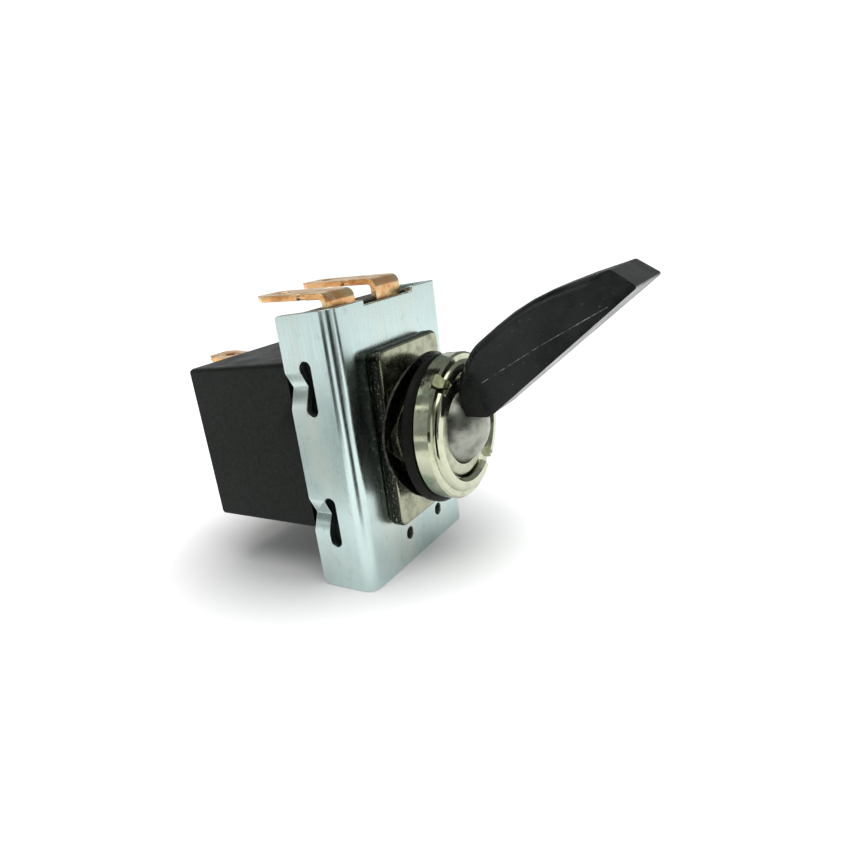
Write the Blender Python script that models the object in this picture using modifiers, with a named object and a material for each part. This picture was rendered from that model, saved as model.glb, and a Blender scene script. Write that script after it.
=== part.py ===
"""Panel toggle switch: a flared blade lever on a threaded bushing, a U-shaped bracket
around a moulded case, two push-on terminals over the top and one out of the rear.

The origin is on the bushing's axis, on the front face of the bracket's plate.
+X is to the right as seen from the front, +Y runs to the rear and +Z is up.
The sizes are in millimetres, and the helpers below turn them into metres.
The lever is modelled up, at one end of its travel.
"""
import math

import bmesh
import bpy
from mathutils import Matrix, Vector

MM = 0.001
NAME = "panel_toggle_switch"
GAP = 0.15  # running clearance between neighbouring pieces
ROUND_STEPS = 48  # sides of a large turned piece
SMALL_STEPS = 20  # sides of a pin or a hole
COVER = 1.0  # how far a cutter runs past the surface it cuts

# bracket: folded sheet, open to the rear
SHEET = 1.2
BRACKET_HALF_WIDTH = 14.0
BRACKET_REAR = 8.9
BRACKET_BOTTOM = -20.5
BRACKET_TOP = 18.8
BEND_OUTER = 1.8
NOTCH_HALF_WIDTH = 6.2
NOTCH_DEPTH = 0.7
PIN_HOLES = ((-2.9, -16.1), (5.9, -15.9))
PIN_HOLE_RADIUS = 0.95
SLOT_FRONT = 4.3
SLOT_REAR = 6.2
# each crimp: apex height, reach above it and reach below it; each slot: bottom, top
CRIMPS = ((9.1, 2.2, 2.9), (-9.4, 2.5, 2.5))
SLOTS = ((5.2, 12.7), (-14.0, -6.5))

# case: moulded body with a shoulder inside the bracket
CASE_HALF_WIDTH = 12.6
CASE_FRONT = 1.7
SHOULDER_REAR = 8.4
SHOULDER_BOTTOM = -20.2
SHOULDER_TOP = 18.5
CASE_REAR = 30.4
CASE_BOTTOM = -12.3
CASE_TOP = 12.4
CASE_EDGE = 0.6
CAVITY_HALF_WIDTH = 11.0
CAVITY_BOTTOM = -10.9
CAVITY_TOP = 11.1
CAVITY_REAR = 28.2
SADDLE_INNER = 8.2
SADDLE_HALF_HEIGHT = 3.0

# bushing, ball and front stack
BUSH_RADIUS = 7.0
BUSH_FRONT = -9.3
BUSH_LIP_ROUND = 0.7
BUSH_REAR_BORE = 6.55
BUSH_FLANGE_RADIUS = 8.8
BUSH_FLANGE = (1.3, 2.1)
BALL_RADIUS = 5.8
PIVOT = Vector((0.0, -6.5, 0.0))
PIN_RADIUS = 1.0
PIN_HALF_LENGTH = 6.85
SPACER = (-2.3, -0.1)
SPACER_HALF_WIDTH = 8.05
SPACER_BOTTOM = -12.9
SPACER_TOP = 12.3
WASHER_THICKNESS = 0.35
WASHER_MIDDLE = -3.7
WASHER_WAVE = 1.05
WASHER_RADIUS = 10.3
RING = (-6.7, -5.1)
RING_RADIUS = 10.3
RING_BORE = 7.6
RING_DROP = 0.45
NUT_REAR = -6.85
NUT_BAND_FRONT = -9.3
NUT_FRONT = -9.95
NUT_RADIUS = 10.0
NUT_RIM_RADIUS = 9.3
NUT_SLOT_ANGLE = 129.0
NUT_SLOT_WIDTH = 2.2
NUT_SLOT_DEPTH = 1.3

# lever: the rear arm hangs below the axis while the blade stands above it
ARM_TILT = 25.0
TANG_TILT = 40.0
ARM_RADIUS = 1.8
ARM_LENGTH = 17.0
TANG_RADIUS = 1.4
TANG_LENGTH = 17.0
BORE_RADIUS = 1.4
BORE_START = 9.5
PLUNGER_RADIUS = 1.1
PLUNGER_START = 13.9
PLUNGER_TIP = 21.0
SPRING_SPAN = (9.75, 13.6)
SPRING_RADIUS = 0.85
SPRING_WIRE = 0.18
SPRING_TURNS = 6
BLADE_ROOT_Y = -12.0
BLADE_ROOT_HALF_WIDTH = 3.0
BLADE_TIP_Y = -32.0
BLADE_TIP_HALF_WIDTH = 5.5
BLADE_EDGE = 1.2

# rocker: its cup follows the plunger's tip over the whole travel
ROCKER_AXIS = Vector((0.0, 19.5, 0.0))
ROCKER_TILT = 8.0
ROCKER_HALF_WIDTH = 3.2
CUP_CENTRE = -16.4
CUP_RADIUS = 11.7
CUP_HALF_HEIGHT = 8.6
ARM_DEPTH = 1.6
HUB_HALF_HEIGHT = 3.0
HUB_REAR = 1.2
TRUNNION_RADIUS = 1.2
TRUNNION_HALF_LENGTH = 9.6
BRIDGE = (1.35, 1.95)
BRIDGE_HALF_WIDTH = 2.2
BRIDGE_HALF_HEIGHT = 8.4
CONTACT_RADIUS = 1.4
CONTACT_HEIGHT = 0.9
MOVING_CONTACT_Z = 7.2
FIXED_CONTACT_Z = 6.7
FIXED_CONTACT_FRONT = 23.6

# terminals: 6.3 mm push-on blades of 0.8 mm sheet
BLADE = 0.8
TERMINAL_WIDTH = 6.3
TERMINAL_BEND = 0.5
TIP_CHAMFER = 1.1
TIP_HOLE_RADIUS = 0.9
TIP_HOLE_INSET = 3.2
LEG_Y = 2.3
CEILING_Z = 10.5
FOOT_Y = 24.9
FOOT_EDGES = (4.7, 8.7)
LEFT_X = -8.4
RIGHT_X = 3.0
LEFT_TIP = (14.4, 21.15)
RIGHT_TIP = (15.4, 21.5)
REAR_TIP = (40.0, 11.8)
HOOK_Z = (20.25, 20.6)

# Each frame turns an outline's plane and its depth into world directions.
FRAMES = {
    "X": Matrix(((0, 0, 1), (1, 0, 0), (0, 1, 0))),  # outline in (y, z), depth along x
    "Y": Matrix(((1, 0, 0), (0, 0, -1), (0, 1, 0))),  # outline in (x, z), depth along y
    "Z": Matrix.Identity(3),  # outline in (x, y), depth along z
}
AXES = {"X": Vector((1, 0, 0)), "Y": Vector((0, 1, 0)), "Z": Vector((0, 0, 1))}
ALONG_Y = Matrix.Rotation(-math.pi / 2, 4, "X")  # a turned piece's top towards the rear


def new_collection(name):
    made = bpy.data.collections.new(name)
    bpy.context.scene.collection.children.link(made)
    return made


for old_object in list(bpy.data.objects):
    bpy.data.objects.remove(old_object, do_unlink=True)
PARTS = new_collection(NAME)
CUTTERS = new_collection(NAME + "_cutters")


# ---------------------------------------------------------------- helpers
def material(name, colour, roughness, metallic):
    made = bpy.data.materials.new(name)
    made.use_nodes = True
    shader = made.node_tree.nodes["Principled BSDF"]
    shader.inputs["Base Color"].default_value = (*colour, 1.0)
    shader.inputs["Roughness"].default_value = roughness
    shader.inputs["Metallic"].default_value = metallic
    made.diffuse_color = (*colour, 1.0)
    return made


def add_object(name, data, place=None):
    made = bpy.data.objects.new(name, data)
    PARTS.objects.link(made)
    if place is not None:
        made.matrix_world = place
    return made


def finish(item, made_of, parent=None):
    """Give a piece its material and hang it, with its cutters, on its joint's empty."""
    item.data.materials.clear()
    item.data.materials.append(made_of)
    if parent is not None:
        hang(item, parent)
    return item


def hang(item, parent):
    item.parent = parent
    for modifier in item.modifiers:
        if modifier.type == "BOOLEAN":
            hang(modifier.object, parent)


def joint_empty(name, centre, tilt=0.0):
    made = bpy.data.objects.new(name, None)
    PARTS.objects.link(made)
    made.location = centre * MM
    made.rotation_euler.x = math.radians(tilt)
    return made


def welded(item):
    """Turn a curve or a modified object into one plain welded mesh in the same place."""
    bpy.context.view_layer.update()
    graph = bpy.context.evaluated_depsgraph_get()
    mesh = bpy.data.meshes.new_from_object(item.evaluated_get(graph))
    edit = bmesh.new()
    edit.from_mesh(mesh)
    bmesh.ops.remove_doubles(edit, verts=edit.verts, dist=1e-6)
    bmesh.ops.dissolve_limit(
        edit, angle_limit=math.radians(0.5), verts=edit.verts, edges=edit.edges
    )
    bmesh.ops.recalc_face_normals(edit, faces=edit.faces)
    edit.to_mesh(mesh)
    edit.free()
    name = item.name
    place = item.matrix_world.copy()
    bpy.data.objects.remove(item, do_unlink=True)
    return add_object(name, mesh, place)


def rounded(corners, steps=4):
    """A closed outline from (across, up, radius) corners, with each radius as an arc."""
    points = []
    for index, (across, up, radius) in enumerate(corners):
        corner = Vector((across, up))
        if radius == 0:
            points.append(corner)
            continue
        before = (Vector(corners[index - 1][:2]) - corner).normalized()
        after = (Vector(corners[(index + 1) % len(corners)][:2]) - corner).normalized()
        half = before.angle(after) / 2
        centre = corner + (before + after).normalized() * radius / math.sin(half)
        start = corner + before * radius / math.tan(half) - centre
        end = corner + after * radius / math.tan(half) - centre
        turn = math.copysign(math.pi - 2 * half, start.cross(end))
        for step in range(steps + 1):
            points.append(centre + Matrix.Rotation(turn * step / steps, 2) @ start)
    return points


def rectangle(left, right, low, high, radius=0.0):
    return rounded(
        [(left, low, radius), (right, low, radius), (right, high, radius), (left, high, radius)]
    )


def strip(path, thickness, bend):
    """The outline of a bent strip: the path is its middle line, bend its inner radius."""
    points = [Vector(point) for point in path]
    sides = {1: [], -1: []}
    for index, point in enumerate(points):
        before = (point - points[index - 1]).normalized() if index else None
        after = (points[index + 1] - point).normalized() if index < len(points) - 1 else None
        before = before or after
        after = after or before
        bisector = (before + after).normalized()
        normal = Vector((-bisector.y, bisector.x))
        reach = thickness / 2 / bisector.dot(after)
        turn = before.cross(after)
        for side, corners in sides.items():
            radius = 0.0
            if abs(turn) > 1e-6:
                radius = bend if turn * side > 0 else bend + thickness
            corners.append((*(point + normal * reach * side), radius))
    return rounded(sides[1] + sides[-1][::-1])


def prism(name, points, axis, low, high):
    """A flat outline given depth along an axis, from low to high."""
    curve = bpy.data.curves.new(name, "CURVE")
    curve.dimensions = "2D"
    curve.fill_mode = "BOTH"
    curve.extrude = (high - low) / 2 * MM
    line = curve.splines.new("POLY")
    line.points.add(len(points) - 1)
    for point, (across, up) in zip(line.points, points):
        point.co = (across * MM, up * MM, 0.0, 1.0)
    line.use_cyclic_u = True
    middle = Matrix.Translation(AXES[axis] * (low + high) / 2 * MM)
    return welded(add_object(name, curve, middle @ FRAMES[axis].to_4x4()))


def box(name, across, depth, height):
    """A block from its (low, high) limits along X, Y and Z."""
    centre = [(low + high) / 2 * MM for low, high in (across, depth, height)]
    size = [(high - low) * MM for low, high in (across, depth, height)]
    edit = bmesh.new()
    bmesh.ops.create_cube(edit, size=1.0, matrix=Matrix.Diagonal((*size, 1.0)))
    mesh = bpy.data.meshes.new(name)
    edit.to_mesh(mesh)
    edit.free()
    return add_object(name, mesh, Matrix.Translation(centre))


def rod(name, radius, start, end, steps=SMALL_STEPS):
    """A cylinder between two points."""
    start = Vector(start)
    end = Vector(end)
    edit = bmesh.new()
    bmesh.ops.create_cone(
        edit,
        cap_ends=True,
        segments=steps,
        radius1=radius * MM,
        radius2=radius * MM,
        depth=(end - start).length * MM,
    )
    mesh = bpy.data.meshes.new(name)
    edit.to_mesh(mesh)
    edit.free()
    mesh.shade_smooth()
    mesh.set_sharp_from_angle(angle=math.radians(40))
    turn = (end - start).to_track_quat("Z", "Y").to_matrix().to_4x4()
    return add_object(name, mesh, Matrix.Translation((start + end) / 2 * MM) @ turn)


def ball(name, radius, centre, steps=40):
    edit = bmesh.new()
    bmesh.ops.create_uvsphere(edit, u_segments=steps, v_segments=steps // 2, radius=radius * MM)
    mesh = bpy.data.meshes.new(name)
    edit.to_mesh(mesh)
    edit.free()
    mesh.shade_smooth()
    return add_object(name, mesh, Matrix.Translation(Vector(centre) * MM))


def turned(name, profile, place=None, steps=ROUND_STEPS, closed=True):
    """A profile of (radius, along) points spun about the Y axis, its top towards the rear.

    The profile runs from the rear to the front along its outer side.
    """
    edit = bmesh.new()
    verts = [edit.verts.new((radius * MM, 0.0, along * MM)) for radius, along in profile]
    for first, second in zip(verts, verts[1:]):
        edit.edges.new((first, second))
    if closed:
        edit.edges.new((verts[-1], verts[0]))
    mesh = bpy.data.meshes.new(name)
    edit.to_mesh(mesh)
    edit.free()
    made = add_object(name, mesh, (place or Matrix.Identity(4)) @ ALONG_Y)
    screw = made.modifiers.new("Turn", "SCREW")
    screw.steps = steps
    screw.render_steps = steps
    screw.use_merge_vertices = True
    screw.merge_threshold = 1e-6
    screw.use_smooth_shade = True
    return made


def join(target, tool, operation="DIFFERENCE"):
    """Cut a tool out of a piece, add it, or keep only what lies inside it."""
    CUTTERS.objects.link(tool)
    PARTS.objects.unlink(tool)
    tool.hide_render = True
    tool.display_type = "WIRE"
    change = target.modifiers.new(tool.name, "BOOLEAN")
    change.operation = operation
    change.solver = "EXACT"
    change.object = tool
    return target


def round_edges(item, width, segments=2, angle=50):
    bevel = item.modifiers.new("Rounding", "BEVEL")
    bevel.width = width * MM
    bevel.segments = segments
    bevel.limit_method = "ANGLE"
    bevel.angle_limit = math.radians(angle)
    return item


def arc(centre, radius, start, end, steps):
    """Points on a circle from one angle to another, in degrees."""
    points = []
    for step in range(steps + 1):
        angle = math.radians(start + (end - start) * step / steps)
        points.append((centre[0] + radius * math.cos(angle), centre[1] + radius * math.sin(angle)))
    return points


# ---------------------------------------------------------------- bracket and case
def crimp_wedge(name, side, crimp, base, tip):
    """A wedge along Y whose tip points inward; it makes or clears one crimp."""
    apex, above, below = crimp
    depth = abs(base - tip)
    corners = [
        (side * base, apex + above / SHEET * depth),
        (side * tip, apex),
        (side * base, apex - below / SHEET * depth),
    ]
    return prism(name, corners, "Y", (SLOT_FRONT + SLOT_REAR) / 2, BRACKET_REAR + COVER)


def mounting_bracket(steel):
    outer = BRACKET_HALF_WIDTH
    inner = outer - SHEET
    far = BRACKET_REAR + COVER / 2
    fold = rounded(
        [
            (-outer, far, 0),
            (-outer, 0, BEND_OUTER),
            (outer, 0, BEND_OUTER),
            (outer, far, 0),
            (inner, far, 0),
            (inner, SHEET, BEND_OUTER - SHEET),
            (-inner, SHEET, BEND_OUTER - SHEET),
            (-inner, far, 0),
        ]
    )
    bracket = prism("mounting_bracket", fold, "Z", BRACKET_BOTTOM, BRACKET_TOP)
    for side in (-1, 1):
        for number, crimp in enumerate(CRIMPS):
            wedge = crimp_wedge(f"crimp_{side}_{number}", side, crimp, inner + 0.4, inner - SHEET)
            join(bracket, wedge, "UNION")
    outline = rounded(
        [
            (-COVER, BRACKET_BOTTOM, 0),
            (BRACKET_REAR, BRACKET_BOTTOM, 1.2),
            (BRACKET_REAR, BRACKET_TOP, 0.6),
            (-COVER, BRACKET_TOP, 0),
        ]
    )
    reach = outer + COVER
    join(bracket, prism("flange_trim", outline, "X", -reach, reach), "INTERSECT")
    for low, high in SLOTS:
        slot = rectangle(SLOT_FRONT, SLOT_REAR, low, high, (SLOT_REAR - SLOT_FRONT) / 2 - 0.01)
        join(bracket, prism(f"slot_{low}", slot, "X", -reach, reach))
    for side in (-1, 1):
        for number, crimp in enumerate(CRIMPS):
            dent = crimp_wedge(f"dent_{side}_{number}", side, crimp, outer + COVER / 2, inner)
            join(bracket, dent)
    notch = box(
        "top_notch",
        (-NOTCH_HALF_WIDTH, NOTCH_HALF_WIDTH),
        (-COVER, SHEET + COVER),
        (BRACKET_TOP - NOTCH_DEPTH, BRACKET_TOP + COVER),
    )
    join(bracket, notch)
    through = (-COVER, SHEET + COVER)
    for number, (x, z) in enumerate(PIN_HOLES):
        hole = rod(f"pin_hole_{number}", PIN_HOLE_RADIUS, (x, through[0], z), (x, through[1], z))
        join(bracket, hole)
    bore = rod(
        "bracket_bore", BUSH_RADIUS + GAP, (0, through[0], 0), (0, through[1], 0), ROUND_STEPS
    )
    join(bracket, bore)
    return finish(bracket, steel)


def case(phenolic):
    outline = [
        (CASE_FRONT, SHOULDER_BOTTOM),
        (SHOULDER_REAR, SHOULDER_BOTTOM),
        (SHOULDER_REAR, CASE_BOTTOM),
        (CASE_REAR, CASE_BOTTOM),
        (CASE_REAR, CASE_TOP),
        (SHOULDER_REAR, CASE_TOP),
        (SHOULDER_REAR, SHOULDER_TOP),
        (CASE_FRONT, SHOULDER_TOP),
    ]
    body = prism("case", outline, "X", -CASE_HALF_WIDTH, CASE_HALF_WIDTH)
    round_edges(body, CASE_EDGE)
    cavity = box(
        "cavity",
        (-CAVITY_HALF_WIDTH, CAVITY_HALF_WIDTH),
        (CASE_FRONT - COVER, CAVITY_REAR),
        (CAVITY_BOTTOM, CAVITY_TOP),
    )
    join(body, cavity)
    for side in (-1, 1):
        edges = sorted((side * SADDLE_INNER, side * (CAVITY_HALF_WIDTH + 0.5)))
        depth = (ROCKER_AXIS.y - 2 * TRUNNION_RADIUS, CAVITY_REAR + 0.5)
        saddle = box(f"saddle_{side}", edges, depth, (-SADDLE_HALF_HEIGHT, SADDLE_HALF_HEIGHT))
        join(body, saddle, "UNION")
    seat = TRUNNION_RADIUS + 0.2
    slot = rectangle(ROCKER_AXIS.y - 4 * seat, ROCKER_AXIS.y + seat, -seat, seat, seat - 0.01)
    inside = CAVITY_HALF_WIDTH
    join(body, prism("trunnion_slot", slot, "X", -inside, inside))
    for side in (-1, 1):
        for number, crimp in enumerate(CRIMPS):
            tip = BRACKET_HALF_WIDTH - 2 * SHEET - 0.25
            notch = crimp_wedge(f"notch_{side}_{number}", side, crimp, CASE_HALF_WIDTH + 0.6, tip)
            join(body, notch)
    for centre, low in ((LEFT_X, -CAVITY_HALF_WIDTH + GAP), (RIGHT_X, None)):
        half = TERMINAL_WIDTH / 2 + 0.2
        edges = (centre - half, centre + half)
        join(body, box(f"groove_{centre}", edges, (0, LEG_Y + 0.65), (16.5, SHOULDER_TOP + COVER)))
        inner = (low or centre - half, centre + half)
        join(body, box(f"lower_groove_{centre}", inner, (0, LEG_Y + 0.65), (9.0, 17.0)))
    half = TERMINAL_WIDTH / 2 + 0.2
    rear_slot = box(
        "rear_slot",
        (RIGHT_X - half, RIGHT_X + half),
        (CAVITY_REAR - COVER, CASE_REAR + COVER),
        (CEILING_Z - 0.55, CEILING_Z + 0.55),
    )
    join(body, rear_slot)
    return finish(body, phenolic)


def front_insulator(fibre):
    half = 12.1
    outline = rectangle(-half, half, SHOULDER_BOTTOM + 0.4, SHOULDER_TOP - 0.6, 1.0)
    sheet = prism("front_insulator", outline, "Y", SHEET + 0.1, CASE_FRONT - 0.1)
    hole = rod("insulator_hole", BUSH_FLANGE_RADIUS + 0.3, (0, 0, 0), (0, 3, 0), ROUND_STEPS)
    join(sheet, hole)
    return finish(sheet, fibre)


# ---------------------------------------------------------------- bushing and front stack
def bushing(brass):
    """A threaded tube whose rounded, turned-in front lip is the ball's seat."""
    seat = BALL_RADIUS + GAP
    lip = PIVOT.y - BUSH_FRONT
    seat_angle = math.degrees(math.asin(-lip / seat))
    profile = [
        (BUSH_FLANGE_RADIUS, BUSH_FLANGE[1]),
        (BUSH_FLANGE_RADIUS, BUSH_FLANGE[0]),
        (BUSH_RADIUS, BUSH_FLANGE[0]),
    ]
    crown = (BUSH_RADIUS - BUSH_LIP_ROUND, BUSH_FRONT + BUSH_LIP_ROUND)
    profile += arc(crown, BUSH_LIP_ROUND, 0, -90, 5)
    profile += arc((0, PIVOT.y), seat, seat_angle, 0, 5)
    rear_bore = BUSH_REAR_BORE
    profile += [(seat, PIVOT.y + 3), (rear_bore, PIVOT.y + 4), (rear_bore, BUSH_FLANGE[1])]
    tube = turned("bushing", profile)
    hole = rod("bushing_cross_hole", PIN_RADIUS + 0.1, (-9, PIVOT.y, 0), (9, PIVOT.y, 0))
    join(tube, hole)
    return finish(tube, brass)


def spacer_plate(nickel):
    outline = rectangle(-SPACER_HALF_WIDTH, SPACER_HALF_WIDTH, SPACER_BOTTOM, SPACER_TOP, 1.5)
    plate = prism("spacer_plate", outline, "Y", *SPACER)
    round_edges(plate, 0.5)
    hole = rod(
        "spacer_hole", BUSH_RADIUS + GAP, (0, SPACER[0] - 1, 0), (0, SPACER[1] + 1, 0), ROUND_STEPS
    )
    join(plate, hole)
    return finish(plate, nickel)


def wave_washer(spring_steel):
    """A flat ring bent into two waves: its sides lie back and its top and bottom forward."""
    rear = WASHER_THICKNESS / 2
    inner = BUSH_RADIUS + 0.5
    profile = [(WASHER_RADIUS, rear), (WASHER_RADIUS, -rear), (inner, -rear), (inner, rear)]
    place = Matrix.Translation((0, WASHER_MIDDLE * MM, 0))
    ring = turned("wave_washer", profile, place)
    bpy.context.view_layer.update()
    ring = welded(ring)
    for vertex in ring.data.vertices:
        angle = math.atan2(vertex.co.y, vertex.co.x)
        vertex.co.z += WASHER_WAVE * MM * math.cos(2 * angle)
    ring.data.shade_smooth()
    return finish(ring, spring_steel)


def backing_ring(black):
    """A plain ring on the thread, hanging as low as its bore lets it."""
    rear = RING[1]
    front = RING[0]
    edge = 0.4
    profile = [
        (RING_RADIUS - edge, rear),
        (RING_RADIUS, rear - edge),
        (RING_RADIUS, front + edge),
        (RING_RADIUS - edge, front),
        (RING_BORE, front),
        (RING_BORE, rear),
    ]
    place = Matrix.Translation((0, 0, -RING_DROP * MM))
    return finish(turned("backing_ring", profile, place), black)


def bezel_nut(nickel):
    """A round nut: a plain band, then a narrower rim with two spanner slots."""
    bore = BUSH_RADIUS + GAP
    crown = NUT_RIM_RADIUS - 0.9
    profile = [
        (NUT_RADIUS - 0.2, NUT_REAR),
        (NUT_RADIUS, NUT_REAR - 0.2),
        (NUT_RADIUS, NUT_BAND_FRONT + 0.3),
        (NUT_RADIUS - 0.3, NUT_BAND_FRONT),
        (NUT_RIM_RADIUS, NUT_BAND_FRONT),
    ]
    profile += arc((crown, NUT_FRONT + 0.6), 0.6, 0, -90, 3)
    profile += [(bore + 0.5, NUT_FRONT), (bore, NUT_FRONT + 0.5), (bore, NUT_REAR)]
    nut = turned("bezel_nut", profile)
    for angle in (NUT_SLOT_ANGLE, NUT_SLOT_ANGLE + 180):
        half = NUT_SLOT_WIDTH / 2
        slot = box(
            f"spanner_slot_{angle}",
            (bore - 1, NUT_RADIUS + 1),
            (NUT_FRONT - COVER, NUT_FRONT + NUT_SLOT_DEPTH),
            (-half, half),
        )
        slot.matrix_world = Matrix.Rotation(-math.radians(angle), 4, "Y") @ slot.matrix_world
        join(nut, slot)
    return finish(nut, nickel)


def pivot_pin(steel):
    reach = PIN_HALF_LENGTH
    return finish(rod("pivot_pin", PIN_RADIUS, (-reach, PIVOT.y, 0), (reach, PIVOT.y, 0)), steel)


# ---------------------------------------------------------------- lever
def arm_point(distance):
    """A point on the rear arm's axis, in the lever's own frame at the pivot."""
    tilt = math.radians(ARM_TILT)
    return Vector((0, distance * math.cos(tilt), -distance * math.sin(tilt)))


def tang_point(distance):
    """A point on the front tang's axis, in the lever's own frame at the pivot."""
    tilt = math.radians(TANG_TILT)
    return Vector((0, -distance * math.cos(tilt), distance * math.sin(tilt)))


def pin_clearance(name):
    reach = BALL_RADIUS + COVER
    return rod(name, PIN_RADIUS + 0.1, (-reach, 0, 0), (reach, 0, 0))


def lever_stem(steel, lever):
    stem = rod("lever_stem", ARM_RADIUS, arm_point(-1.5), arm_point(ARM_LENGTH))
    tang = rod("stem_tang", TANG_RADIUS, tang_point(-0.8), tang_point(TANG_LENGTH))
    join(stem, tang, "UNION")
    bore = rod("stem_bore", BORE_RADIUS, arm_point(BORE_START), arm_point(ARM_LENGTH + 1))
    join(stem, bore)
    join(stem, pin_clearance("stem_pin_hole"))
    return finish(stem, steel, lever)


def lever_ball(steel, lever):
    dome = ball("lever_ball", BALL_RADIUS, (0, 0, 0))
    passage = rod("ball_bore", ARM_RADIUS + GAP, arm_point(-1.65), arm_point(2 * BALL_RADIUS))
    join(dome, passage)
    tang = rod("ball_tang_bore", TANG_RADIUS + GAP, tang_point(-0.8), tang_point(2 * BALL_RADIUS))
    join(dome, tang)
    join(dome, pin_clearance("ball_pin_hole"))
    return finish(dome, steel, lever)


def lever_blade(plastic, lever):
    """The side view is one outline, widened from the root to the tip."""
    side = rounded(
        [
            (-9.3, 2.1, 1.4),
            (-10.15, 7.4, 5.0),
            (-12.4, 10.9, 5.0),
            (-20.5, 16.5, 26.0),
            (-29.4, 18.3, 0.5),
            (-31.95, 16.3, 0.3),
            (-14.3, 2.1, 2.2),
        ]
    )
    side = [point - Vector((PIVOT.y, PIVOT.z)) for point in side]
    blade = prism("lever_blade", side, "X", -1.0, 1.0)
    widening = (BLADE_TIP_HALF_WIDTH - BLADE_ROOT_HALF_WIDTH) / (BLADE_TIP_Y - BLADE_ROOT_Y)
    for vertex in blade.data.vertices:
        along = vertex.co.x / MM + PIVOT.y
        vertex.co.z *= BLADE_ROOT_HALF_WIDTH + widening * (along - BLADE_ROOT_Y)
    mark_upper_edges(blade.data)
    bevel = blade.modifiers.new("Upper edges", "BEVEL")
    bevel.width = BLADE_EDGE * MM
    bevel.segments = 4
    bevel.limit_method = "WEIGHT"
    bevel.use_clamp_overlap = False
    join(blade, ball("blade_socket", BALL_RADIUS + GAP, (0, 0, 0)))
    bore = rod("blade_bore", TANG_RADIUS + GAP, tang_point(0), tang_point(TANG_LENGTH + GAP))
    join(blade, bore)
    return finish(blade, plastic, lever)


def mark_upper_edges(mesh):
    """Weight the long edges of both sides that lie above the blade's middle line."""
    weights = mesh.attributes.new("bevel_weight_edge", "FLOAT", "EDGE")
    for edge in mesh.edges:
        first, second = (mesh.vertices[index].co for index in edge.vertices)
        middle = (first + second) / 2 / MM
        on_one_side = first.z * second.z > 0
        above = middle.y > 5.0 - 0.5 * (middle.x + 7.0)
        behind_tip = middle.x > BLADE_TIP_Y - PIVOT.y + 3.0
        if on_one_side and above and behind_tip:
            weights.data[edge.index].value = 1.0


def plunger(steel, slide):
    shoulder = PLUNGER_TIP - PLUNGER_RADIUS
    tip = arc((0, shoulder), PLUNGER_RADIUS, 90, 0, 6)
    profile = [(0, PLUNGER_TIP)] + tip[1:] + [(PLUNGER_RADIUS, PLUNGER_START), (0, PLUNGER_START)]
    made = turned("plunger", profile, steps=SMALL_STEPS, closed=False)
    return finish(made, steel, slide)


def plunger_spring(spring_steel, slide):
    """A coil around the arm's axis, between the bore's end and the plunger."""
    per_turn = 12
    start, end = SPRING_SPAN
    start += SPRING_WIRE
    end -= SPRING_WIRE
    curve = bpy.data.curves.new("plunger_spring", "CURVE")
    curve.dimensions = "3D"
    curve.bevel_depth = SPRING_WIRE * MM
    curve.bevel_resolution = 2
    curve.use_fill_caps = True
    line = curve.splines.new("POLY")
    count = SPRING_TURNS * per_turn
    line.points.add(count)
    for index, point in enumerate(line.points):
        angle = 2 * math.pi * index / per_turn
        along = start + (end - start) * index / count
        across = SPRING_RADIUS * math.cos(angle)
        up = SPRING_RADIUS * math.sin(angle)
        point.co = (across * MM, along * MM, up * MM, 1.0)
    coil = welded(add_object("plunger_spring", curve))
    coil.data.shade_smooth()
    return finish(coil, spring_steel, slide)


# ---------------------------------------------------------------- rocker
def rocker(moulding, axis):
    """A seesaw: a hollow cup in front for the plunger, a hub behind, a trunnion each side."""
    cup = CUP_HALF_HEIGHT
    front_edge = math.degrees(math.asin(cup / CUP_RADIUS))
    back_radius = CUP_RADIUS + ARM_DEPTH
    back_edge = math.degrees(math.asin(cup / back_radius))
    hub_edge = math.degrees(math.asin(HUB_HALF_HEIGHT / back_radius))
    centre = (CUP_CENTRE, 0)
    outline = arc(centre, CUP_RADIUS, front_edge, -front_edge, 16)
    outline += arc(centre, back_radius, -back_edge, -hub_edge, 5)
    outline += [(HUB_REAR, -HUB_HALF_HEIGHT), (HUB_REAR, HUB_HALF_HEIGHT)]
    outline += arc(centre, back_radius, hub_edge, back_edge, 5)
    body = prism("rocker", outline, "X", -ROCKER_HALF_WIDTH, ROCKER_HALF_WIDTH)
    reach = TRUNNION_HALF_LENGTH
    join(body, rod("trunnions", TRUNNION_RADIUS, (-reach, 0, 0), (reach, 0, 0)), "UNION")
    return finish(body, moulding, axis)


def contact_bridge(copper, axis):
    half = BRIDGE_HALF_WIDTH
    outline = rectangle(-half, half, -BRIDGE_HALF_HEIGHT, BRIDGE_HALF_HEIGHT, 1.0)
    return finish(prism("contact_bridge", outline, "Y", *BRIDGE), copper, axis)


def contact_profile(base, crown):
    """A rivet head's profile from its flat base to its domed crown, either way along Y."""
    rim = base + (crown - base) * 0.6
    points = [(0, base), (CONTACT_RADIUS, base), (CONTACT_RADIUS, rim)]
    for step in (0.33, 0.66, 1.0):
        radius = CONTACT_RADIUS * math.cos(step * math.pi / 2)
        points.append((radius, rim + (crown - rim) * math.sin(step * math.pi / 2)))
    points[-1] = (0, crown)
    return points[::-1] if crown > base else points


def moving_contact(name, silver, axis, height):
    base = BRIDGE[1] + 0.1
    place = Matrix.Translation((0, 0, height * MM))
    profile = contact_profile(base, base + CONTACT_HEIGHT)
    made = turned(name, profile, place, SMALL_STEPS, closed=False)
    return finish(made, silver, axis)


def fixed_contact(name, silver, height):
    base = FOOT_Y - BLADE / 2 - 0.1
    place = Matrix.Translation((0, 0, height * MM))
    profile = contact_profile(base, FIXED_CONTACT_FRONT)
    return finish(turned(name, profile, place, SMALL_STEPS, closed=False), silver)


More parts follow.
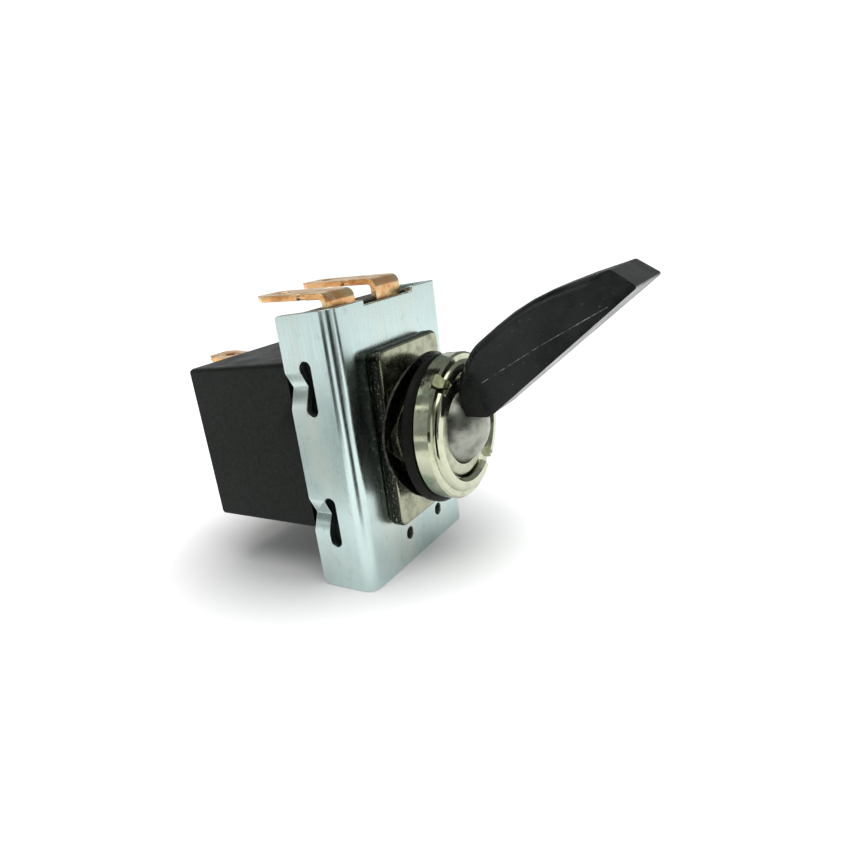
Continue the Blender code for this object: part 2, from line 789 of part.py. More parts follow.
# ---------------------------------------------------------------- terminals
def push_on_blade(name, path, centre, tip):
    """The outer end of a terminal: chamfered corners, a latch hole and two side nicks."""
    half = TERMINAL_WIDTH / 2
    blade = prism(name, strip(path, BLADE, TERMINAL_BEND), "X", centre - half, centre + half)
    root = min(point[0] for point in path) - COVER
    nick = tip - 8.5
    plan = [(centre - half, root), (centre + half, root)]
    for side in (1, -1):
        edge = centre + side * half
        run = [
            (edge, nick - 0.7),
            (edge - side * 0.45, nick - 0.5),
            (edge - side * 0.45, nick + 0.5),
            (edge, nick + 0.7),
            (edge, tip - TIP_CHAMFER * 1.4),
            (edge - side * TIP_CHAMFER, tip),
        ]
        plan += run if side == 1 else run[::-1]
    join(blade, prism(name + "_plan", plan, "Z", -5, 30), "INTERSECT")
    y = tip - TIP_HOLE_INSET
    join(blade, rod(name + "_hole", TIP_HOLE_RADIUS, (centre, y, 0), (centre, y, 30)))
    return blade


def terminal_left(copper):
    """Over the case's top, down the front, back along the ceiling to the upper contact."""
    inner = (-10.6, LEFT_X + TERMINAL_WIDTH / 2)
    path = [(LEG_Y, 18.0), (LEG_Y, CEILING_Z), (FOOT_Y, CEILING_Z), (FOOT_Y, FOOT_EDGES[0])]
    made = prism("terminal_left", strip(path, BLADE, TERMINAL_BEND), "X", *inner)
    outer_path = [LEFT_TIP, (LEG_Y, HOOK_Z[0]), (LEG_Y, 17.0)]
    join(made, push_on_blade("left_blade", outer_path, LEFT_X, LEFT_TIP[0]), "UNION")
    depth = (FOOT_Y - BLADE / 2, FOOT_Y + BLADE / 2)
    join(made, box("left_foot", (inner[0], 1.8), depth, FOOT_EDGES), "UNION")
    return finish(made, copper)


def terminal_right(copper):
    """As the left terminal, but its leg runs down past the rocker to the lower contact."""
    outer = (RIGHT_X - TERMINAL_WIDTH / 2, RIGHT_X + TERMINAL_WIDTH / 2)
    path = [(LEG_Y, 18.0), (LEG_Y, CEILING_Z), (FOOT_Y, CEILING_Z), (FOOT_Y, 8.0)]
    made = prism("terminal_right", strip(path, BLADE, TERMINAL_BEND), "X", 3.5, outer[1])
    ceiling = strip(path[:2] + [(22.0, CEILING_Z)], BLADE, TERMINAL_BEND)
    join(made, prism("right_ceiling", ceiling, "X", *outer), "UNION")
    outer_path = [RIGHT_TIP, (LEG_Y, HOOK_Z[1]), (LEG_Y, 17.0)]
    join(made, push_on_blade("right_blade", outer_path, RIGHT_X, RIGHT_TIP[0]), "UNION")
    depth = (FOOT_Y - BLADE / 2, FOOT_Y + BLADE / 2)
    join(made, box("right_leg", (3.5, outer[1]), depth, (-FOOT_EDGES[1], 8.5)), "UNION")
    foot = box("right_foot", (-1.8, outer[1]), depth, (-FOOT_EDGES[1], -FOOT_EDGES[0]))
    join(made, foot, "UNION")
    return finish(made, copper)


def terminal_rear(copper):
    """Out through the rear wall; inside it drops to a tongue behind the rocker's middle."""
    leg_y = 27.0
    path = [(29.0, CEILING_Z), (leg_y, CEILING_Z), (leg_y, 0.0), (21.8, 0.0)]
    left = RIGHT_X - TERMINAL_WIDTH / 2
    made = prism("terminal_rear", strip(path, BLADE, TERMINAL_BEND), "X", left, 2.4)
    outer_path = [REAR_TIP, (30.0, CEILING_Z), (28.0, CEILING_Z)]
    join(made, push_on_blade("rear_blade", outer_path, RIGHT_X, REAR_TIP[0]), "UNION")
    return finish(made, copper)


# ---------------------------------------------------------------- assembly
def main():
    steel = material("zinc_plated_steel", (0.72, 0.78, 0.79), 0.32, 1.0)
    nickel = material("nickel_plate", (0.74, 0.72, 0.60), 0.25, 1.0)
    polished = material("polished_steel", (0.62, 0.62, 0.60), 0.15, 1.0)
    spring_steel = material("spring_steel", (0.45, 0.45, 0.43), 0.3, 1.0)
    copper = material("copper", (0.72, 0.40, 0.20), 0.35, 1.0)
    silver = material("contact_silver", (0.80, 0.80, 0.78), 0.3, 1.0)
    black_finish = material("black_finish", (0.02, 0.02, 0.02), 0.4, 0.0)
    phenolic = material("black_phenolic", (0.022, 0.024, 0.023), 0.45, 0.0)
    fibre = material("black_fibre", (0.04, 0.035, 0.03), 0.8, 0.0)
    moulding = material("rocker_moulding", (0.25, 0.12, 0.05), 0.5, 0.0)

    mounting_bracket(steel)
    case(phenolic)
    front_insulator(fibre)
    bushing(nickel)
    spacer_plate(nickel)
    wave_washer(spring_steel)
    backing_ring(black_finish)
    bezel_nut(nickel)
    pivot_pin(polished)

    lever = joint_empty("lever_axis", PIVOT)
    lever_stem(polished, lever)
    lever_ball(polished, lever)
    lever_blade(phenolic, lever)
    slide = joint_empty("plunger_axis", PIVOT, -ARM_TILT)
    plunger(polished, slide)
    plunger_spring(spring_steel, slide)

    seesaw = joint_empty("rocker_axis", ROCKER_AXIS, ROCKER_TILT)
    rocker(moulding, seesaw)
    contact_bridge(copper, seesaw)
    moving_contact("upper_moving_contact", silver, seesaw, MOVING_CONTACT_Z)
    moving_contact("lower_moving_contact", silver, seesaw, -MOVING_CONTACT_Z)

    fixed_contact("upper_fixed_contact", silver, FIXED_CONTACT_Z)
    fixed_contact("lower_fixed_contact", silver, -FIXED_CONTACT_Z)
    terminal_left(copper)
    terminal_right(copper)
    terminal_rear(copper)
    bpy.context.view_layer.update()


main()
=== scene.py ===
"""Looks for the panel toggle switch: camera, soft daylight set, materials and fine detail.

Objects are in metres, in the frame's own axes: the origin is on the bushing's axis at the
front of the bracket, +Y runs to the rear and +Z is up. Constants are given in millimetres.
"""
import math

import bpy
from mathutils import Matrix, Vector


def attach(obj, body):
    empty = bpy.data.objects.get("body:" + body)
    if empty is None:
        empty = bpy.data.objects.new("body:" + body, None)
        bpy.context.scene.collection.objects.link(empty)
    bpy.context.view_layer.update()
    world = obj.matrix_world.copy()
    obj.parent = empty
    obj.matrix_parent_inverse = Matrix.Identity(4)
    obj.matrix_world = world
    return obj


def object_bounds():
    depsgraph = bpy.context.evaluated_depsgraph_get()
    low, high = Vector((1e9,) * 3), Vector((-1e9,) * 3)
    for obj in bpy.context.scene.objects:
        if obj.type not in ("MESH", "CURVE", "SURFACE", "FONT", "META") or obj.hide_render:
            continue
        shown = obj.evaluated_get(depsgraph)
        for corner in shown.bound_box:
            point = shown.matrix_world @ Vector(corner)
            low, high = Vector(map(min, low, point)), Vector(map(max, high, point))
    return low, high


MM = 0.001

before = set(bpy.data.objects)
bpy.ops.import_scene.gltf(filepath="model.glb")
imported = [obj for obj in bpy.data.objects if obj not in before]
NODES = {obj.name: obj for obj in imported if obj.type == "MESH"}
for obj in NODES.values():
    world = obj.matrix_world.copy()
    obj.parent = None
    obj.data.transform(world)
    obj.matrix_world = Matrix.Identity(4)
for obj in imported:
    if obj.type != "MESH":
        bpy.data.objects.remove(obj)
CAD_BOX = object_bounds()

# ---------------------------------------------------------------- driving values
CAMERA_PLACE = Vector((-75.3, -47.7, 24.0))
CAMERA_RIGHT = Vector((0.6244, -0.7597, -0.1817))
CAMERA_UP = Vector((0.3505, 0.0646, 0.9343))
CAMERA_LENS = 26.37
CAMERA_SENSOR = 36.0
CAMERA_SHIFT = (0.144, 0.0562)
CAMERA_NEAR = 1.0
CAMERA_FAR = 100000.0

SKY_COLOUR = (0.95, 1.0, 0.97)
SKY_STRENGTH = 0.25
BACKDROP_STRENGTH = 1.05

FLOOR_SIZE = 40000.0
FLOOR_GAP = 0.1
FLOOR_GREY = 0.85
FLOOR_ROUGHNESS = 0.9
# the floor glows least near the middle of the case, a painted shadow over the real cast one,
# and brightens away from it; each pair is a share of the reach and the glow there
CASE_MIDDLE_Y = 18.0
GLOW_REACH = 180.0
FLOOR_GLOW_PAINTED_SHADOW = ((0.08, 0.04), (0.18, 0.60), (0.35, 0.84), (1.0, 0.95))

# soft boxes: name, place, target, width and height, watts
LIGHTS = (
    ("sky_box", (-40, -20, 190), (0, 5, 0), (220, 220), 0.26),
    ("left_box", (-190, 30, 60), (0, 5, 0), (160, 120), 0.012),
    ("front_box", (60, -190, 90), (0, 0, 0), (150, 100), 0.02),
)

# cards that only reflections see: name, place, target, width and height, glow
CARDS = (
    ("camera_card", (-112, -78, 52), (-5, -5, 0), (70, 80), 0.0),
    ("low_card", (-40, -110, -8), (0, -8, 0), (60, 22), 0.0),
    ("bend_card", (-29, -20, -1), (-13.5, 0, -1), (16, 38), 0.0),
    ("lever_card", (-78, 5, 0), (-4, -20, 14), (40, 32), 0.0),
    ("rim_card", (-104, 124, 104), (-4, -10, 10), (90, 60), 1.6),
    ("roof_card", (10, 80, 120), (0, -8, 5), (90, 60), 0.0),
    ("bright_card", (190, 150, 85), (0, 14, 20), (200, 90), 0.75),
    ("rear_floor_card", (-95, 65, -20.3), (-95, 65, 0), (110, 90), 0.55),
)
CARD_GREY = 0.01
CARD_GLOW_COLOUR = (0.95, 1, 0.98)

NOISE_ROUGHNESS = 0.55
# at a scale of 1 the ring wave turns through this many radians over one metre of radius
RING_WAVE_RATE = 20

# the crests stand a little proud of the bushing, and stop behind its rounded lip
THREAD_RADIUS = 6.95
THREAD_SPAN = (-7.9, -0.2)
THREAD_PITCH = 1.0
THREAD_STEPS = 40
THREAD_CREST = 0.1
# the parting line on the blade's right side; the left one mirrors it
SEAM = ((3.2, -13.7, 6.6), (4.2, -21.5, 10.9), (5.12, -29.0, 14.6))
SEAM_RADIUS = 0.055

# the rounding of the edges of the folded and moulded nodes
EDGE_WIDTHS = {
    "mounting_bracket": 0.12,
    "case": 0.15,
    "spacer_plate": 0.12,
    "terminal_left": 0.1,
    "terminal_right": 0.1,
    "terminal_rear": 0.1,
    "lever_blade": 0.12,
}
EDGE_SEGMENTS = 2
EDGE_ANGLE = 35
FLAT_ANGLE = 0.5
SHARP_ANGLE = 32
WELD_DISTANCE = 0.001


# ---------------------------------------------------------------- camera, stage and light
def add_object(name, data):
    made = bpy.data.objects.new(name, data)
    bpy.context.scene.collection.objects.link(made)
    return made


def make_camera():
    data = bpy.data.cameras.new("camera")
    data.sensor_width = CAMERA_SENSOR
    data.lens = CAMERA_LENS
    data.shift_x, data.shift_y = CAMERA_SHIFT
    data.clip_start = CAMERA_NEAR * MM
    data.clip_end = CAMERA_FAR * MM
    made = add_object("camera", data)
    back = CAMERA_RIGHT.cross(CAMERA_UP)
    turn = Matrix((CAMERA_RIGHT, CAMERA_UP, back)).transposed()
    made.matrix_world = Matrix.Translation(CAMERA_PLACE * MM) @ turn.to_4x4()
    bpy.context.scene.camera = made


def make_world():
    """A dim even sky for the light, and plain white where the camera looks past the floor."""
    world = bpy.data.worlds.new("white_room")
    bpy.context.scene.world = world
    world.use_nodes = True
    nodes = world.node_tree.nodes
    links = world.node_tree.links
    sky = nodes["Background"]
    sky.inputs["Color"].default_value = (*SKY_COLOUR, 1)
    sky.inputs["Strength"].default_value = SKY_STRENGTH
    backdrop = nodes.new("ShaderNodeBackground")
    backdrop.inputs["Color"].default_value = (1, 1, 1, 1)
    backdrop.inputs["Strength"].default_value = BACKDROP_STRENGTH
    path = nodes.new("ShaderNodeLightPath")
    mix = nodes.new("ShaderNodeMixShader")
    links.new(path.outputs["Is Camera Ray"], mix.inputs["Fac"])
    links.new(sky.outputs["Background"], mix.inputs[1])
    links.new(backdrop.outputs["Background"], mix.inputs[2])
    links.new(mix.outputs["Shader"], nodes["World Output"].inputs["Surface"])


def fill_ramp(ramp, stops):
    """Set a colour ramp's stops: each is (position, colour or grey)."""
    while len(ramp.elements) < len(stops):
        ramp.elements.new(0.5)
    for element, (position, value) in zip(ramp.elements, stops):
        element.position = position
        grey = isinstance(value, (int, float))
        element.color = (value, value, value, 1) if grey else (*value, 1)


def make_floor():
    """A wide pale floor just under the bracket's lower edge."""
    floor_height = CAD_BOX[0].z - FLOOR_GAP * MM
    bpy.ops.mesh.primitive_plane_add(size=FLOOR_SIZE * MM, location=(0, 0, floor_height))
    floor = bpy.context.object
    floor.name = "floor"
    paint = bpy.data.materials.new("floor_white")
    paint.use_nodes = True
    nodes = paint.node_tree.nodes
    links = paint.node_tree.links
    shader = nodes["Principled BSDF"]
    shader.inputs["Base Color"].default_value = (FLOOR_GREY, FLOOR_GREY, FLOOR_GREY, 1)
    shader.inputs["Roughness"].default_value = FLOOR_ROUGHNESS
    shader.inputs["Specular IOR Level"].default_value = 0.0
    shader.inputs["Emission Color"].default_value = (1, 1, 1, 1)
    distance = nodes.new("ShaderNodeVectorMath")
    distance.operation = "DISTANCE"
    distance.inputs[1].default_value = (0, CASE_MIDDLE_Y * MM, 0)
    links.new(nodes.new("ShaderNodeTexCoord").outputs["Object"], distance.inputs[0])
    spread = nodes.new("ShaderNodeMapRange")
    spread.inputs["From Max"].default_value = GLOW_REACH * MM
    links.new(distance.outputs["Value"], spread.inputs["Value"])
    # painted shadow: the emission ramp stays low near the case and rises to plain white farther
    # out
    glow = nodes.new("ShaderNodeValToRGB")
    fill_ramp(glow.color_ramp, FLOOR_GLOW_PAINTED_SHADOW)
    links.new(spread.outputs["Result"], glow.inputs["Fac"])
    links.new(glow.outputs["Color"], shader.inputs["Emission Strength"])
    floor.data.materials.append(paint)


def facing(place, target, axis):
    """Where something stands with its own axis towards a target; both in millimetres."""
    place = Vector(place) * MM
    aim = (Vector(target) * MM - place).to_track_quat(axis, "Y")
    return Matrix.Translation(place) @ aim.to_matrix().to_4x4()


def soft_light(name, place, target, size, power):
    data = bpy.data.lights.new(name, "AREA")
    data.shape = "RECTANGLE"
    data.size, data.size_y = size[0] * MM, size[1] * MM
    data.energy = power
    add_object(name, data).matrix_world = facing(place, target, "-Z")


def reflected_card(name, place, target, size, glow):
    """A black or glowing card that only reflections see; it shades the plating."""
    bpy.ops.mesh.primitive_plane_add(size=1.0)
    card = bpy.context.object
    card.name = name
    scale = Matrix.Diagonal((size[0] * MM, size[1] * MM, 1, 1))
    card.matrix_world = facing(place, target, "Z") @ scale
    paint = bpy.data.materials.new(name)
    paint.use_nodes = True
    shader = paint.node_tree.nodes["Principled BSDF"]
    shader.inputs["Base Color"].default_value = (CARD_GREY, CARD_GREY, CARD_GREY, 1)
    shader.inputs["Specular IOR Level"].default_value = 0.0
    shader.inputs["Emission Color"].default_value = (*CARD_GLOW_COLOUR, 1)
    shader.inputs["Emission Strength"].default_value = glow
    card.data.materials.append(paint)
    card.visible_camera = False
    card.visible_shadow = False
    card.visible_diffuse = False


def make_set():
    """The set round the switch, and the plain view transform that it is lit for."""
    make_world()
    make_floor()
    for light in LIGHTS:
        soft_light(*light)
    for card in CARDS:
        reflected_card(*card)
    settings = bpy.context.scene.view_settings
    settings.view_transform = "Standard"
    settings.look = "None"


# ---------------------------------------------------------------- material tools
class Surface:
    """A Principled material with short helpers for its procedural nodes."""

    def __init__(self, name, metallic=0.0, specular=None):
        self.material = bpy.data.materials.new(name)
        self.material.use_nodes = True
        self.tree = self.material.node_tree
        self.shader = self.tree.nodes["Principled BSDF"]
        self.shader.inputs["Metallic"].default_value = metallic
        if specular is not None:
            self.shader.inputs["Specular IOR Level"].default_value = specular
        self.coords = self.tree.nodes.new("ShaderNodeTexCoord").outputs["Object"]

    def node(self, kind, **settings):
        made = self.tree.nodes.new(kind)
        for key, value in settings.items():
            setattr(made, key, value)
        return made

    def link(self, source, target):
        self.tree.links.new(source, target)

    def noise(self, size_mm, detail=4.0, stretch=(1, 1, 1), distortion=0.0):
        """Noise whose features are about size_mm across, longer where stretch is under 1."""
        mapping = self.node("ShaderNodeMapping")
        mapping.inputs["Scale"].default_value = stretch
        self.link(self.coords, mapping.inputs["Vector"])
        made = self.node("ShaderNodeTexNoise")
        made.inputs["Scale"].default_value = 1.0 / (size_mm * MM)
        made.inputs["Detail"].default_value = detail
        made.inputs["Roughness"].default_value = NOISE_ROUGHNESS
        made.inputs["Distortion"].default_value = distortion
        self.link(mapping.outputs["Vector"], made.inputs["Vector"])
        return made.outputs["Fac"]

    def rings(self, ripple_mm):
        """Wavy rings round the Y axis, each 2 pi times ripple_mm wide."""
        made = self.node("ShaderNodeTexWave", wave_type="RINGS", rings_direction="Y")
        made.inputs["Scale"].default_value = 1.0 / (ripple_mm * MM) / RING_WAVE_RATE
        made.inputs["Distortion"].default_value = 2.0
        made.inputs["Detail"].default_value = 2.0
        self.link(self.coords, made.inputs["Vector"])
        return made.outputs["Fac"]

    def ramp(self, factor, *stops):
        """A colour or grey ramp: each stop is (position, colour or grey)."""
        made = self.node("ShaderNodeValToRGB")
        fill_ramp(made.color_ramp, stops)
        self.link(factor, made.inputs["Fac"])
        return made.outputs["Color"]

    def mix(self, factor, first, second, blend="MIX"):
        """Mix two colours; each input is a number, a colour or another node's output."""
        made = self.node("ShaderNodeMix", data_type="RGBA", blend_type=blend)
        sockets = made.inputs[0], made.inputs[6], made.inputs[7]
        for socket, value in zip(sockets, (factor, first, second)):
            if isinstance(value, (int, float)):
                socket.default_value = value
            elif isinstance(value, tuple):
                socket.default_value = (*value, 1)
            else:
                self.link(value, socket)
        return made.outputs[2]

    def edges(self, start, end):
        """White along outward edges, from the surface's pointiness."""
        geometry = self.node("ShaderNodeNewGeometry")
        return self.ramp(geometry.outputs["Pointiness"], (start, 0.0), (end, 1.0))

    def front_faces(self, start, end):
        """White on the faces that look along the bushing's axis."""
        geometry = self.node("ShaderNodeNewGeometry")
        parts = self.node("ShaderNodeSeparateXYZ")
        self.link(geometry.outputs["True Normal"], parts.inputs[0])
        size = self.node("ShaderNodeMath", operation="ABSOLUTE")
        self.link(parts.outputs["Y"], size.inputs[0])
        return self.ramp(size.outputs[0], (start, 0.0), (end, 1.0))

    def colour(self, source):
        self.link(source, self.shader.inputs["Base Color"])

    def roughness(self, source):
        self.link(source, self.shader.inputs["Roughness"])

    def bump(self, *layers):
        """Stack bumps: each layer is (height source, depth in millimetres, strength)."""
        normal = None
        for height, depth, strength in layers:
            made = self.node("ShaderNodeBump")
            made.inputs["Distance"].default_value = depth * MM
            made.inputs["Strength"].default_value = strength
            self.link(height, made.inputs["Height"])
            if normal is not None:
                self.link(normal, made.inputs["Normal"])
            normal = made.outputs["Normal"]
        self.link(normal, self.shader.inputs["Normal"])


# ---------------------------------------------------------------- metals
def zinc_plate():
    """Bright zinc plate on rolled sheet: pale blue, faint clouds and fine draw lines."""
    made = Surface("zinc_plate", metallic=1.0)
    clouds = made.noise(9.0, 3.0, (1, 1, 0.5))
    pale, middle, warm = (0.50, 0.63, 0.62), (0.58, 0.70, 0.68), (0.66, 0.73, 0.67)
    tint = made.ramp(clouds, (0.32, pale), (0.5, middle), (0.68, warm))
    stains = made.ramp(made.noise(1.6, 6.0), (0.30, (0.62, 0.66, 0.66)), (0.42, (1, 1, 1)))
    made.colour(made.mix(0.35, tint, stains, "MULTIPLY"))
    lines = made.noise(0.35, 3.0, (1, 1, 0.04))
    made.roughness(made.ramp(made.mix(0.25, clouds, lines), (0.35, 0.17), (0.65, 0.36)))
    made.bump((lines, 0.006, 0.12), (made.noise(5.0, 2.0), 0.15, 0.10))
    return made.material


def nickel(name, tone, dark, smooth, dull, ripple_mm, side=None):
    """Nickel plate over fine turning marks round the bushing's axis.

    It goes from tone to dark and from smooth to dull in patches. With a side colour, the
    faces that don't look along the axis are painted that colour, a painted shade for the dark
    reflections they catch, with specks of the tone.
    """
    made = Surface(name, metallic=1.0)
    marks = made.rings(ripple_mm)
    plate = made.ramp(made.noise(2.2, 5.0), (0.34, dark), (0.55, tone))
    # painted shade: faces that don't look along the axis take the dark side colour
    if side is not None:
        specks = made.ramp(made.noise(0.3, 3.0), (0.60, side), (0.70, tone))
        plate = made.mix(made.front_faces(0.55, 0.9), specks, plate)
    made.colour(plate)
    made.roughness(made.ramp(made.noise(0.8, 4.0), (0.3, smooth), (0.7, dull)))
    made.bump((marks, 0.008, 0.2), (made.noise(0.5, 4.0), 0.01, 0.2))
    return made.material


def polished_steel():
    made = Surface("polished_steel", metallic=1.0)
    haze = made.noise(1.5, 5.0)
    made.colour(made.ramp(haze, (0.3, (0.17, 0.175, 0.145)), (0.6, (0.32, 0.33, 0.285))))
    made.roughness(made.ramp(made.noise(0.6, 4.0), (0.3, 0.24), (0.7, 0.40)))
    made.bump((made.noise(0.3, 3.0, (0.2, 1, 1)), 0.005, 0.25))
    return made.material


def spring_steel():
    made = Surface("spring_steel", metallic=1.0)
    haze = made.noise(1.2, 4.0)
    made.colour(made.ramp(haze, (0.35, (0.03, 0.03, 0.026)), (0.6, (0.10, 0.10, 0.085))))
    made.roughness(made.ramp(made.noise(0.5, 3.0), (0.3, 0.2), (0.7, 0.38)))
    made.bump((made.noise(0.3, 3.0), 0.005, 0.3))
    return made.material


def black_metal():
    """Blackened steel, a little greyer along its edges, partly wear and partly a painted
    highlight.
    """
    made = Surface("black_metal", specular=0.06)
    # partly wear, partly a painted highlight: the pointiness mask greys the outward edges
    edge_wear_and_highlight = made.edges(0.52, 0.62)
    haze = made.noise(0.9, 5.0)
    black = made.ramp(haze, (0.3, (0.003, 0.003, 0.003)), (0.7, (0.008, 0.008, 0.007)))
    made.colour(made.mix(edge_wear_and_highlight, black, (0.014, 0.014, 0.012)))
    made.roughness(made.ramp(made.noise(0.6, 4.0), (0.3, 0.22), (0.7, 0.4)))
    made.bump((made.noise(0.25, 3.0), 0.006, 0.3))
    return made.material


def copper():
    """Rolled copper strip: warm, brighter where it is rubbed and brown where it is dull."""
    made = Surface("copper", metallic=1.0)
    patches = made.noise(2.4, 5.0, (1, 0.6, 1))
    brown, warm, rubbed = (0.56, 0.25, 0.09), (0.95, 0.53, 0.23), (1.0, 0.77, 0.46)
    tone = made.ramp(patches, (0.34, brown), (0.48, warm), (0.68, rubbed))
    spots = made.ramp(made.noise(0.5, 5.0), (0.30, (0.45, 0.30, 0.22)), (0.40, (1, 1, 1)))
    made.colour(made.mix(0.5, tone, spots, "MULTIPLY"))
    lines = made.noise(0.25, 3.0, (1, 0.05, 1))
    made.roughness(made.ramp(made.mix(0.5, patches, lines), (0.3, 0.42), (0.7, 0.2)))
    made.bump((lines, 0.008, 0.3), (made.noise(1.2, 3.0), 0.04, 0.15))
    return made.material


def contact_silver():
    made = Surface("contact_silver", metallic=1.0)
    haze = made.noise(0.8, 4.0)
    made.colour(made.ramp(haze, (0.3, (0.45, 0.44, 0.42)), (0.6, (0.86, 0.86, 0.83))))
    made.roughness(made.ramp(made.noise(0.4, 3.0), (0.3, 0.15), (0.7, 0.35)))
    made.bump((made.noise(0.2, 3.0), 0.006, 0.3))
    return made.material


# ---------------------------------------------------------------- mouldings and fibre
def phenolic():
    """Moulded black resin: satin, faintly mottled, grey along its edges, partly rubbed wear and
    partly a painted highlight.
    """
    made = Surface("phenolic", specular=0.07)
    mottle = made.noise(1.4, 6.0)
    base = made.ramp(mottle, (0.35, (0.004, 0.0045, 0.004)), (0.65, (0.008, 0.009, 0.0085)))
    # grey along the outward edges, partly rubbed wear and partly a painted highlight
    edge_wear_and_highlight = made.mix(made.edges(0.505, 0.56), (0, 0, 0), made.noise(0.4, 5.0))
    made.colour(made.mix(edge_wear_and_highlight, base, (0.03, 0.033, 0.03)))
    fine = made.noise(0.3, 4.0)
    satin = made.mix(0.4, made.noise(5.0, 3.0), fine)
    made.roughness(made.ramp(satin, (0.35, 0.30), (0.68, 0.52)))
    made.bump((fine, 0.01, 0.25), (made.noise(7.0, 2.0), 0.2, 0.15))
    return made.material


def lever_plastic():
    """Harder black moulding, polished by fingers, with fine scratches along its length."""
    made = Surface("lever_plastic", specular=0.34)
    scratches = made.noise(0.25, 3.0, (1, 0.08, 0.12))
    haze = made.noise(4.0, 4.0)
    base = made.ramp(haze, (0.35, (0.006, 0.007, 0.007)), (0.65, (0.013, 0.014, 0.014)))
    dust = made.ramp(made.noise(0.35, 2.0), (0.70, 0.0), (0.76, 1.0))
    made.colour(made.mix(dust, base, (0.10, 0.10, 0.10)))
    made.roughness(made.ramp(made.mix(0.5, haze, scratches), (0.35, 0.20), (0.65, 0.42)))
    made.bump((scratches, 0.008, 0.25), (made.noise(3.0, 2.0), 0.08, 0.12))
    return made.material


def seam_flash():
    """The rubbed grey edge of the lever's parting line."""
    made = Surface("seam_flash", specular=0.3)
    rubbing = made.noise(0.8, 4.0)
    made.colour(made.ramp(rubbing, (0.40, (0.02, 0.02, 0.02)), (0.62, (0.22, 0.22, 0.20))))
    made.roughness(made.ramp(made.noise(0.3, 2.0), (0.3, 0.35), (0.7, 0.6)))
    made.bump((made.noise(0.2, 3.0), 0.01, 0.3))
    return made.material


def rocker_plastic():
    made = Surface("rocker_plastic", specular=0.4)
    mottle = made.noise(0.8, 6.0)
    made.colour(made.ramp(mottle, (0.35, (0.10, 0.045, 0.02)), (0.65, (0.20, 0.10, 0.05))))
    made.roughness(made.ramp(made.noise(0.6, 3.0), (0.3, 0.4), (0.7, 0.6)))
    made.bump((made.noise(0.3, 4.0), 0.02, 0.3))
    return made.material


def pressed_fibre():
    made = Surface("pressed_fibre", specular=0.3)
    fibres = made.noise(0.3, 5.0, (1, 1, 0.15), distortion=1.0)
    made.colour(made.ramp(fibres, (0.35, (0.012, 0.010, 0.009)), (0.65, (0.045, 0.038, 0.032))))
    made.roughness(made.ramp(fibres, (0.3, 0.65), (0.7, 0.85)))
    made.bump((fibres, 0.03, 0.5))
    return made.material


# ---------------------------------------------------------------- which node has which finish
def spacer_nickel():
    """Dull nickel plate whose side faces are painted nearly black, a painted shade for dark
    reflections.
    """
    # painted shade: the side colour darkens the faces that don't look along the axis
    tone, dark, side = (0.39, 0.40, 0.29), (0.22, 0.23, 0.16), (0.03, 0.03, 0.025)
    return nickel("spacer_nickel", tone, dark, smooth=0.14, dull=0.34, ripple_mm=0.4, side=side)


def nut_nickel():
    """Bright warm nickel plate."""
    tone, dark = (0.53, 0.55, 0.41), (0.37, 0.39, 0.27)
    return nickel("nut_nickel", tone, dark, smooth=0.07, dull=0.20, ripple_mm=0.25)


def bushing_nickel():
    """Satin nickel plate, duller than the nut's."""
    tone, dark = (0.42, 0.44, 0.33), (0.26, 0.27, 0.19)
    return nickel("bushing_nickel", tone, dark, smooth=0.16, dull=0.32, ripple_mm=0.4)


MOVING_CONTACTS = ("upper_moving_contact", "lower_moving_contact")
FIXED_CONTACTS = ("upper_fixed_contact", "lower_fixed_contact")
FINISHES = (
    (zinc_plate, ("mounting_bracket",)),
    (spacer_nickel, ("spacer_plate",)),
    (nut_nickel, ("bezel_nut",)),
    (bushing_nickel, ("bushing",)),
    (polished_steel, ("pivot_pin", "lever_stem", "lever_ball", "plunger")),
    (spring_steel, ("wave_washer", "plunger_spring")),
    (black_metal, ("backing_ring",)),
    (phenolic, ("case",)),
    (pressed_fibre, ("front_insulator",)),
    (lever_plastic, ("lever_blade",)),
    (rocker_plastic, ("rocker",)),
    (copper, ("contact_bridge", "terminal_left", "terminal_right", "terminal_rear")),
    (contact_silver, MOVING_CONTACTS + FIXED_CONTACTS),
)


def paint_nodes():
    """Give every CAD node its finish, and return the materials by node."""
    painted = {}
    for make_finish, names in FINISHES:
        finish = make_finish()
        for name in names:
            mesh = NODES[name].data
            mesh.materials.clear()
            mesh.materials.append(finish)
            painted[name] = finish
    return painted


# ---------------------------------------------------------------- fine shape
def shade_smooth(name):
    """Shade a CAD node smooth over its welded facets; its own points stay as they are."""
    mesh = NODES[name].data
    stored = mesh.attributes.get("custom_normal")
    if stored is not None:
        mesh.attributes.remove(stored)
    mesh.shade_smooth()
    joined = NODES[name].modifiers.new("Joined facets", "WELD")
    joined.merge_threshold = WELD_DISTANCE * MM


def keep_edges(name):
    """Keep a turned node's edges sharp."""
    split = NODES[name].modifiers.new("Sharp edges", "EDGE_SPLIT")
    split.split_angle = math.radians(SHARP_ANGLE)
    split.use_edge_sharp = False


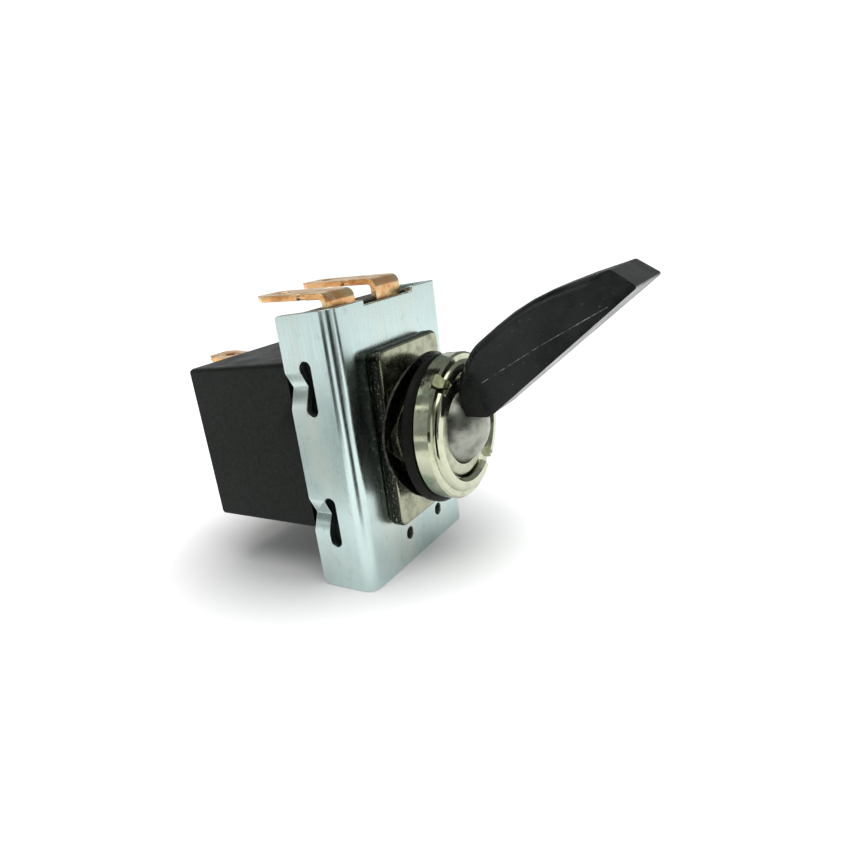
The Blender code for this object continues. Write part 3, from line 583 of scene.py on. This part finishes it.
def soften(name, width_mm):
    """Merge a folded or moulded node's flat facets and round its edges, by modifiers."""
    node = NODES[name]
    flat = node.modifiers.new("Flat faces", "DECIMATE")
    flat.decimate_type = "DISSOLVE"
    flat.angle_limit = math.radians(FLAT_ANGLE)
    bevel = node.modifiers.new("Edges", "BEVEL")
    bevel.width = width_mm * MM
    bevel.segments = EDGE_SEGMENTS
    bevel.limit_method = "ANGLE"
    bevel.angle_limit = math.radians(EDGE_ANGLE)
    bevel.harden_normals = False
    weigh = node.modifiers.new("Normals", "WEIGHTED_NORMAL")
    weigh.keep_sharp = False
    weigh.weight = 100


def refine_nodes():
    for name in NODES:
        shade_smooth(name)
        if name in EDGE_WIDTHS:
            soften(name, EDGE_WIDTHS[name])
        else:
            keep_edges(name)


def wire(name, points, radius_mm, body, finish):
    """A fine ridge along a row of points in millimetres, riding on a body."""
    data = bpy.data.curves.new(name, "CURVE")
    data.dimensions = "3D"
    data.bevel_depth = radius_mm * MM
    data.bevel_resolution = 1
    data.use_fill_caps = True
    spline = data.splines.new("POLY")
    spline.points.add(len(points) - 1)
    for target, point in zip(spline.points, points):
        target.co = (*(Vector(point) * MM), 1)
    data.materials.append(finish)
    made = add_object(name, data)
    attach(made, body)


def bushing_thread(finish):
    """The thread's crests, a helix from near the bracket to the bushing's rounded lip."""
    front, rear = THREAD_SPAN
    steps = round((rear - front) / THREAD_PITCH * THREAD_STEPS)
    points = []
    for step in range(steps + 1):
        angle = 2 * math.pi * step / THREAD_STEPS
        y = front + THREAD_PITCH * step / THREAD_STEPS
        points.append((THREAD_RADIUS * math.cos(angle), y, THREAD_RADIUS * math.sin(angle)))
    wire("bushing_thread", points, THREAD_CREST, "base", finish)


def lever_seams(finish):
    """The moulding's parting line, a hair of flash along each side of the blade."""
    for name, side in (("lever_seam_left", -1), ("lever_seam_right", 1)):
        points = [(side * x, y, z) for x, y, z in SEAM]
        wire(name, points, SEAM_RADIUS, "lever", finish)


make_camera()
make_set()
PAINTED = paint_nodes()
bushing_thread(PAINTED["bushing"])
lever_seams(seam_flash())
refine_nodes()
